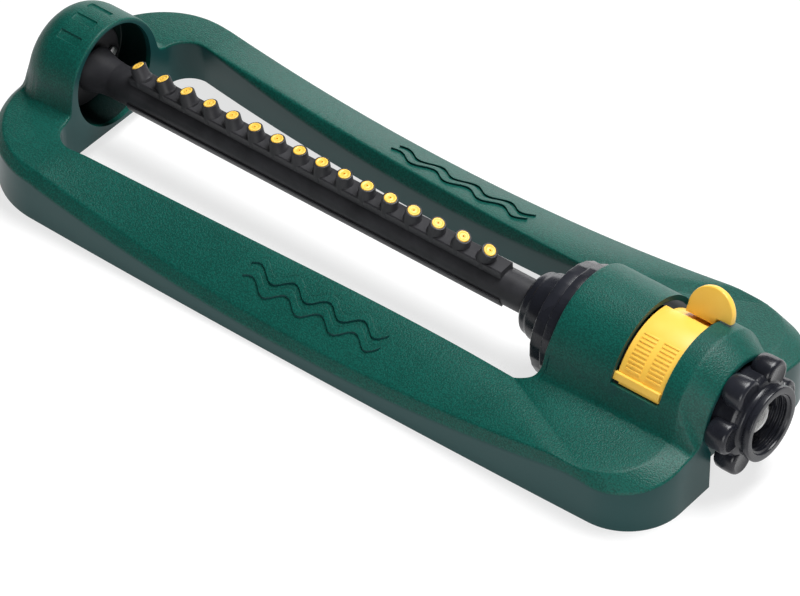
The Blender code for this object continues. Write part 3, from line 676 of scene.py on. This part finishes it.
tubeLook = {
    "leftX": -157.0, "rightX": 92.0, "outer": 8.2, "bore": 6.4, "roll": 4.0,
    "stripX": (-141.0, 68.0), "stripTop": 11.1, "stripHalf": 4.3, "stripFoot": 5.0, "stripSoft": 0.5,
    "nozzles": 16, "nozzleMid": -39.9, "pitch": 11.9, "tipHeight": 16.2,
    "fanLinear": 2.45, "fanCubic": 0.030, "upright": 0.45,
    "socketFoot": 7.6, "socketBase": 3.95, "socketTop": 3.55, "tipR": 2.8,
    "panelX": (-140.0, 70.0), "panelHigh": 0.95, "panelDegrees": (-48.0, -8.0),
    "bell": [(-152.0, 8.22), (-156.0, 8.5), (-159.5, 9.1), (-162.5, 10.0), (-164.8, 10.8), (-166.0, 11.0),
             (-166.0, 5.3), (-157.6, 5.3), (-157.6, 8.22)],
    "collar": [(83.8, 8.3), (83.8, 12.9), (85.2, 14.5), (88.0, 15.0), (89.4, 15.8), (94.0, 16.3), (99.4, 16.4),
               (99.4, 8.8), (92.4, 8.8), (92.4, 8.3)],
    "bearing": [(-171.2, 0), (-171.2, 19.6), (-169.6, 20.0), (-168.6, 19.4), (-168.6, 7.0), (-167.4, 5.0),
                (-158.4, 5.0), (-157.9, 0)],
}


def nozzleFrame(i):
    look = tubeLook
    step = i - (look["nozzles"] - 1) / 2
    lean = math.radians(look["fanLinear"] * step + look["fanCubic"] * step ** 3)
    roll = Matrix.Rotation(math.radians(look["roll"]), 4, "X")
    place = Matrix.Translation((look["nozzleMid"] + look["pitch"] * step + midX, 0, axisZ))
    return place @ roll @ Matrix.Rotation(lean, 4, "Y"), look["tipHeight"] / math.cos(lean), lean


def lathe(bm, profile, matrix, count=32):
    # an open (radius, height) profile turned about local Z, its ends closed on the axis
    before = set(bm.verts)
    line = [bm.verts.new((radius, 0, height)) for radius, height in profile]
    edges = [bm.edges.new(pair) for pair in zip(line, line[1:])]
    bmesh.ops.spin(bm, geom=line + edges, cent=(0, 0, 0), axis=(0, 0, 1), angle=2 * math.pi, steps=count,
                   use_merge=True)
    bmesh.ops.remove_doubles(bm, verts=[v for v in bm.verts if v not in before], dist=0.0005)
    made = [v for v in bm.verts if v not in before]
    bmesh.ops.transform(bm, verts=made, matrix=matrix)
    return made


def makeStrip():
    look = tubeLook
    half, top, foot, soft = look["stripHalf"], look["stripTop"], look["stripFoot"], look["stripSoft"]
    bm = bmesh.new()
    outline = [(-half, foot), (half, foot), (half, top - soft), (half - soft, top), (soft - half, top),
               (-half, top - soft)]
    face = bm.faces.new([bm.verts.new((look["stripX"][0] + midX, y, axisZ + z)) for y, z in outline])
    push(bm, [face], (look["stripX"][1] - look["stripX"][0], 0, 0))
    bmesh.ops.rotate(bm, verts=bm.verts, cent=(0, 0, axisZ),
                     matrix=Matrix.Rotation(math.radians(look["roll"]), 3, "X"))
    bmesh.ops.recalc_face_normals(bm, faces=bm.faces)
    strip = objectFrom(bm, "nozzleStrip", satinBlack)
    cutWith(strip, disc("stripSeat", -200, 120, look["outer"] + 0.02))
    settle(makeSockets(), "tube", "black_satin")
    settle(resmooth(strip), "tube", "black_satin", "nozzle_strip")


def makeSockets():
    look = tubeLook
    wide, rim, mouth = look["socketBase"], look["socketTop"], look["tipR"]
    bm = bmesh.new()
    for i in range(look["nozzles"]):
        matrix, tip, lean = nozzleFrame(i)
        foot = look["socketFoot"] / math.cos(lean)
        made = lathe(bm, [
            (0, foot), (wide + 0.6, foot), (wide + 0.5, foot + 3.2), (wide, foot + 4.1), (rim + 0.08, tip - 0.35),
            (rim, tip - 0.05), (rim - 0.2, tip + 0.06), (mouth + 0.12, tip + 0.06), (mouth + 0.1, tip - 0.8),
            (0, tip - 0.8)], matrix, 36)
        for v in made:                              # the socket leans less than its jet
            v.co.x += look["upright"] * math.tan(lean) * max(axisZ + look["tipHeight"] - v.co.z, 0.0)
    bmesh.ops.recalc_face_normals(bm, faces=bm.faces)
    return objectFrom(bm, "nozzleSockets", satinBlack, 30)


def makeTips():
    look = tubeLook
    r = look["tipR"]
    for i in range(look["nozzles"]):
        matrix, tip, _ = nozzleFrame(i)
        bm = bmesh.new()
        lathe(bm, [
            (0, tip - 0.7), (r - 0.05, tip - 0.7), (r, tip + 0.15), (r - 0.12, tip + 0.32), (r - 0.4, tip + 0.4),
            (r - 0.75, tip + 0.36), (r - 1.0, tip + 0.18), (1.15, tip + 0.16), (0.85, tip + 0.3), (0.5, tip + 0.3),
            (0.42, tip + 0.15), (0.40, tip - 0.5), (0, tip - 0.5)], matrix, 36)
        bmesh.ops.recalc_face_normals(bm, faces=bm.faces)
        settle(objectFrom(bm, f"jetTip{i + 1:02d}", yellow, 40), "tube", "yellow", f"nozzle_tip_{i + 1:02d}")


def makeTube():
    look = tubeLook
    profile = [(look["leftX"], look["bore"]), (look["leftX"], look["outer"]), (look["rightX"], look["outer"]),
               (look["rightX"], look["bore"])]
    settle(spun("sprayTube", profile, satinBlack, 0.4), "tube", "black_satin", "spray_tube")
    panel = slabArc("sidePanel", *look["panelX"], look["outer"] - 0.1, look["outer"] + look["panelHigh"],
                    *look["panelDegrees"], satinBlack, 20, 0.35)
    settle(panel, "tube", "black_satin", "tube_side_panel")
    settle(spun("endBell", look["bell"], satinBlack, 2.0), "tube", "black_satin", "tube_end_bell")
    settle(spun("tubeCollar", look["collar"], glossBlack, 1.3), "tube", "black_gloss", "tube_collar")


makeTube()
makeStrip()
makeTips()
settle(spun("endBearing", tubeLook["bearing"], satinBlack, 0.5), "base", "black_gloss", "end_bearing")
print("tube made")


motorLook = {
    "tierOne": (100.0, 106.4, 26.8), "tierTwo": (106.2, 111.7, 28.2), "sides": 26, "edge": 0.8, "boreR": 6.6,
    "caseWall": 2.0, "caseEnd": 2.5, "caseBore": 6.6,
}


def makeFlange():
    look = motorLook
    bm = bmesh.new()
    for x0, x1, radius in (look["tierOne"], look["tierTwo"]):
        made = bmesh.ops.create_cone(bm, cap_ends=True, segments=look["sides"], radius1=radius, radius2=radius,
                                     depth=x1 - x0)["verts"]
        bmesh.ops.rotate(bm, verts=made, matrix=Matrix.Rotation(math.pi / 2, 3, "Y"))
        bmesh.ops.rotate(bm, verts=made, matrix=Matrix.Rotation(math.pi / look["sides"], 3, "X"))
        bmesh.ops.translate(bm, verts=made, vec=((x0 + x1) / 2 + midX, 0, axisZ))
    soften(bm, bm.edges[:], look["edge"], clamp=False)
    bmesh.ops.recalc_face_normals(bm, faces=bm.faces)
    flange = objectFrom(bm, "motorFlange", glossBlack, 40)
    cutWith(flange, disc("flangeBore", 95, 120, look["boreR"]), selfCross=True)
    return resmooth(flange, 40)


settle(makeFlange(), "base", "black_gloss", "motor_flange")

sliderLook = {
    "nearSheet": (145.6, 168.9, 26.9, 28.0, 22.0, 107.0), "farSheet": (148.0, 168.9, 25.4, 26.6, 17.6, 146.0),
    "nearGrip": (144.6, 168.4, 26.95, 29.6, 20.0, 27.4), "nearLip": (147.6, 168.4, 26.95, 28.9, 17.8, 20.6),
    "ribs": 10, "ribX": (148.3, 158.8), "ribLong": 7.6, "ribR": (27.6, 28.38), "ribStart": 32.0, "ribPitch": 3.9,
    "ribDegrees": 1.9, "farRoot": (153.6, 168.9, 25.9, 31.2, 137.0, 145.8),
    "farBridge": (153.6, 168.9, 28.4, 31.0, 113.0, 145.6),
    "earDegrees": 112.0, "earThick": 3.2, "earMid": (165.0, 33.2), "earR": (11.3, 11.2), "earArc": (188, 196),
    "earFoot": [(168.9, 31.6), (168.9, 28.5), (153.7, 28.5)], "earSoft": 0.7,
}


def joinInto(target, *others):
    return cutWith(target, *others, operation="UNION")


def makeNearSlider():
    look = sliderLook
    sheet = slabArc("nearSlider", *look["nearSheet"], yellow, 60, 0.3)
    grip = slabArc("nearGrip", *look["nearGrip"], steps=6, soft=0.55)
    lip = slabArc("nearLip", *look["nearLip"], steps=4, soft=0.3)
    joinInto(sheet, grip, lip)
    ribs = []
    for x in look["ribX"]:
        for k in range(look["ribs"]):
            start = look["ribStart"] + look["ribPitch"] * k
            ribs.append(slabArc("rib", x, x + look["ribLong"], *look["ribR"], start, start + look["ribDegrees"],
                                steps=2, soft=0.16))
    joinInto(sheet, *ribs)
    return resmooth(sheet, 30)


def makeEar():
    # the far slider's round thumb lug, on its foot
    look = sliderLook
    (midEar, high), (wide, tall), (first, turned) = look["earMid"], look["earR"], look["earArc"]
    outline = look["earFoot"][:]
    for k in range(49):
        a = math.radians(first - turned * k / 48)
        outline.append((midEar + wide * math.cos(a), high + tall * math.sin(a)))
    bm = bmesh.new()
    face = bm.faces.new([bm.verts.new((x + midX, 0, r)) for x, r in outline])
    push(bm, [face], (0, look["earThick"], 0))
    rim = sharpEdges(bm, 1.2)
    bmesh.ops.recalc_face_normals(bm, faces=bm.faces)
    soften(bm, rim, look["earSoft"])
    bmesh.ops.rotate(bm, verts=bm.verts, matrix=Matrix.Rotation(-math.radians(look["earDegrees"] - 90), 3, "X"))
    bmesh.ops.translate(bm, verts=bm.verts, vec=(0, 0, axisZ))
    return objectFrom(bm, "farEar")


def makeFarSlider():
    look = sliderLook
    sheet = slabArc("farSlider", *look["farSheet"], yellow, 70, 0.3)
    root = slabArc("farRoot", *look["farRoot"], steps=6)
    bridge = slabArc("farBridge", *look["farBridge"], steps=24)
    joinInto(sheet, root, bridge, makeEar())
    return resmooth(sheet, 30)


settle(makeNearSlider(), "near_slider", "yellow", "range_slider_near")
settle(makeFarSlider(), "far_slider", "yellow", "range_slider_far")
print("sliders made")


hoseLook = {
    "ring": [(183.4, 12.1), (183.4, 18.4), (184.6, 19.6), (198.6, 20.2), (200.6, 19.0), (201.8, 16.6), (203.8, 16.4),
             (204.8, 17.5), (207.6, 17.5), (207.6, 14.2)],
    "ringBack": [(189.5, 13.9), (189.5, 12.1)], "threadX": 206.6, "threadR": (13.9, 12.9), "threadPitch": 2.31,
    "threads": 4, "threadFlank": 0.5,
    "lobes": 6, "lobeStart": 54.0, "lobeR": 19.6, "lobeHalf": 7.0, "lobeWide": 1.08,
    "meshCells": 30, "meshR": 9.4, "meshRise": 7.4, "meshX": 195.7, "wire": 0.27,
    "filterRim": [(195.3, 9.0), (195.3, 12.9), (195.9, 12.9), (196.4, 9.6), (196.4, 9.0)],
    "washer": [(192.8, 9.6), (192.8, 13.1), (195.0, 13.1), (195.0, 9.6)],
    "nipple": [(173.3, 8.5), (173.3, 11.0), (176.0, 11.6), (189.9, 11.6), (189.9, 13.1), (192.4, 13.1), (192.4, 8.5)],
}


def makeLobes():
    look = hoseLook
    h = look["lobeHalf"]
    profile = [(0, 191.0), (h - 1.2, 191.0), (h - 0.3, 192.2), (h, 195.0), (h, 199.6), (h - 0.3, 200.7),
               (h - 0.9, 201.3), (h - 1.7, 201.5), (h - 2.1, 201.3), (0, 201.2)]
    oval = Matrix.Diagonal((look["lobeWide"], 1, 1, 1))
    side = Matrix.Rotation(math.radians(90), 4, "Y")
    out = Matrix.Translation((0, look["lobeR"], 0))
    middle = Matrix.Translation((midX, 0, axisZ))
    bm = bmesh.new()
    for k in range(look["lobes"]):
        turn = Matrix.Rotation(math.radians(look["lobeStart"] + 360 / look["lobes"] * k), 4, "X")
        lathe(bm, profile, middle @ turn @ out @ side @ oval, 48)
    bmesh.ops.recalc_face_normals(bm, faces=bm.faces)
    return objectFrom(bm, "couplingLobes", glossBlack, 35)


def makeCoupling():
    look = hoseLook
    profile = look["ring"][:]
    crest, root = look["threadR"]
    for k in range(look["threads"]):
        x = look["threadX"] - look["threadPitch"] * k
        profile += [(x - look["threadFlank"] * i, r) for i, r in enumerate((crest, root, root, crest))]
    profile += look["ringBack"]
    body = spun("hoseCoupling", profile, glossBlack, 0.8, steps=120)
    settle(makeLobes(), "coupling", "black_gloss")
    settle(body, "coupling", "black_gloss", "hose_coupling")


def makeScreen():
    look = hoseLook
    radius = look["meshR"]
    bm = bmesh.new()
    bmesh.ops.create_grid(bm, x_segments=look["meshCells"], y_segments=look["meshCells"], size=radius)
    bmesh.ops.delete(bm, geom=[v for v in bm.verts if v.co.xy.length > radius * 0.995], context="VERTS")
    for v in bm.verts:
        height = look["meshRise"] * math.sqrt(max(1 - (v.co.xy.length / radius) ** 2, 0))
        v.co = Vector((look["meshX"] + height + midX, v.co.y, axisZ + v.co.x))
    screen = objectFrom(bm, "filterWires", steel)
    wires = screen.modifiers.new("wires", "WIREFRAME")
    wires.thickness = look["wire"] * mm
    wires.use_even_offset = False
    applied(screen)
    settle(screen, "coupling", "steel_mesh", "filter_screen")
    settle(spun("filterRim", look["filterRim"], steel, 0.2), "coupling", "steel_mesh")
    settle(spun("hoseWasher", look["washer"], rubberBlack, 0.4), "coupling", "rubber", "hose_washer")


makeCoupling()
makeScreen()
settle(spun("inletNipple", hoseLook["nipple"], satinBlack, 0.3), "base", "black_satin", "inlet_nipple")
print("coupling made")


def makeCase():
    look = motorLook
    low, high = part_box("motor_case")
    left, right, radius = low[0] / mm - midX, high[0] / mm - midX, (high[2] - low[2]) / 2 / mm
    inner, end = radius - look["caseWall"], left + look["caseEnd"]
    profile = [(left, look["caseBore"]), (left, radius), (right, radius), (right, inner), (end, inner),
               (end, look["caseBore"])]
    return spun("motorCase", profile, satinBlack, 0.8)


settle(makeCase(), "base", "black_satin", "motor_case")

# the pieces that keep their CAD shape
kept = {
    "motor_cover": satinBlack, "gear_plate": greyPlastic, "jet_ring": greyPlastic, "shaft_seal": rubberBlack,
    "lay_pin": steel, "turbine_shaft": steel, "bearing_screw_1": steel,
    "bearing_screw_2": steel, "lay_gear": naturalPlastic, "turbine_pinion": naturalPlastic,
    "turbine_rotor": naturalPlastic, "output_shaft": naturalPlastic, "trip_lever": yellow, "tube_end_plug": satinBlack,
}
for name, finish in kept.items():
    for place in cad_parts[name].material_slots:
        place.material = finish


view = {"azimuth": 38.58, "elevation": 42.01, "place": (1132.4, -1408.2, 1614.3), "lens": 248.65, "sensor": 36.0}


def makeCamera():
    data = bpy.data.cameras.new("camera")
    data.lens = view["lens"]
    data.sensor_width = view["sensor"]
    data.clip_end = 20.0
    cam = bpy.data.objects.new("camera", data)
    bpy.context.scene.collection.objects.link(cam)
    a, e = math.radians(view["azimuth"]), math.radians(view["elevation"])
    back = Vector((math.sin(a) * math.cos(e), -math.cos(a) * math.cos(e), math.sin(e)))
    right = Vector((math.cos(a), math.sin(a), 0))
    up = back.cross(right)
    turn = Matrix((right, up, back)).transposed().to_4x4()
    x, y, z = view["place"]
    cam.matrix_world = Matrix.Translation(((x + midX) * mm, y * mm, z * mm)) @ turn
    bpy.context.scene.camera = cam


studio = {
    "world": 0.05, "floorGlow": 0.73, "floorTone": 0.30, "floorHalf": 6000, "floorDrop": 0.05,
    # name, place, size and watts of each
    "panels": (("overheadPanel", (0.28, 0.55, 1.5), (0.9, 0.9), 39),
               ("sheenPanel", (-1.1, 2.1, 0.4), (2.2, 0.7), 14),
               ("frontPanel", (0.9, -1.3, 0.5), (0.8, 0.8), 10)),
}


def softBox(name, place, size, power, aim=(0, 0, 0.02)):
    data = bpy.data.lights.new(name, "AREA")
    data.shape = "RECTANGLE"
    data.size, data.size_y = size
    data.energy = power
    lamp = bpy.data.objects.new(name, data)
    bpy.context.scene.collection.objects.link(lamp)
    way = Vector(place) - Vector(aim)
    lamp.matrix_world = Matrix.Translation(place) @ way.to_track_quat("Z", "Y").to_matrix().to_4x4()


def makeStage():
    bm = bmesh.new()
    bmesh.ops.create_grid(bm, x_segments=2, y_segments=2, size=studio["floorHalf"])
    bmesh.ops.translate(bm, verts=bm.verts, vec=(0, 0, -studio["floorDrop"]))
    tone = studio["floorTone"]
    paper = Finish("palePaper", (tone, tone, tone), 0.9, specular=0.0)
    paper.shader.inputs["Emission Color"].default_value = (1, 1, 1, 1)
    paper.shader.inputs["Emission Strength"].default_value = studio["floorGlow"]
    floor = objectFrom(bm, "floor", paper.material)
    world = bpy.data.worlds.new("studio")
    bpy.context.scene.world = world
    world.use_nodes = True
    background = world.node_tree.nodes["Background"]
    background.inputs["Color"].default_value = (1, 1, 1, 1)
    background.inputs["Strength"].default_value = studio["world"]
    for name, place, size, power in studio["panels"]:
        softBox(name, place, size, power)


makeCamera()
makeStage()
bpy.context.scene.view_settings.view_transform = "Standard"
